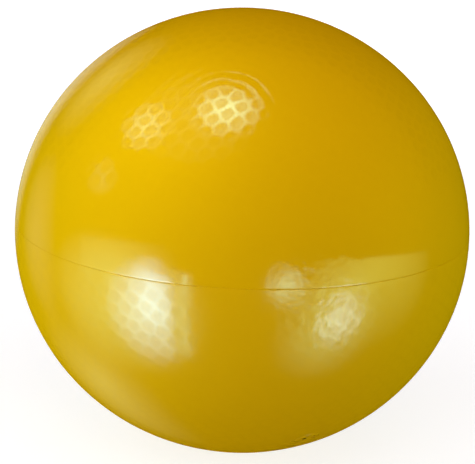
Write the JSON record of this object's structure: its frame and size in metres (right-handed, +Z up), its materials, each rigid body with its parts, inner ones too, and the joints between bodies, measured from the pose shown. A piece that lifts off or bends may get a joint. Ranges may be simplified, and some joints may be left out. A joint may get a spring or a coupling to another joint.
{
  "type": "mini pilates ball",
  "caption": "Soft air-filled vinyl ball for floor exercise, with a glossy dimpled skin, a seam round the middle and a push-in plug valve low on one side.",
  "frame": {"origin": "middle of the flat patch that the ball rests on", "axes": "+Z up, square to the seam; -Y to the front, from where the picture was taken; +X to the right"},
  "size_m": [0.2298, 0.2298, 0.2239],
  "materials": {
    "skin": "gloss",
    "socket": "satin",
    "plug": "satin"
  },
  "bodies": {
    "ball": {"upper_skin": "skin", "lower_skin": "skin", "valve_socket": "socket"},
    "plug": {"valve_plug": "plug"}
  },
  "joints": [
    {"name": "plug_pull", "type": "slide", "parent": "ball", "child": "plug", "axis": [0.2985, -0.5385, -0.788], "range_m": [0, 0.016]}
  ]
}
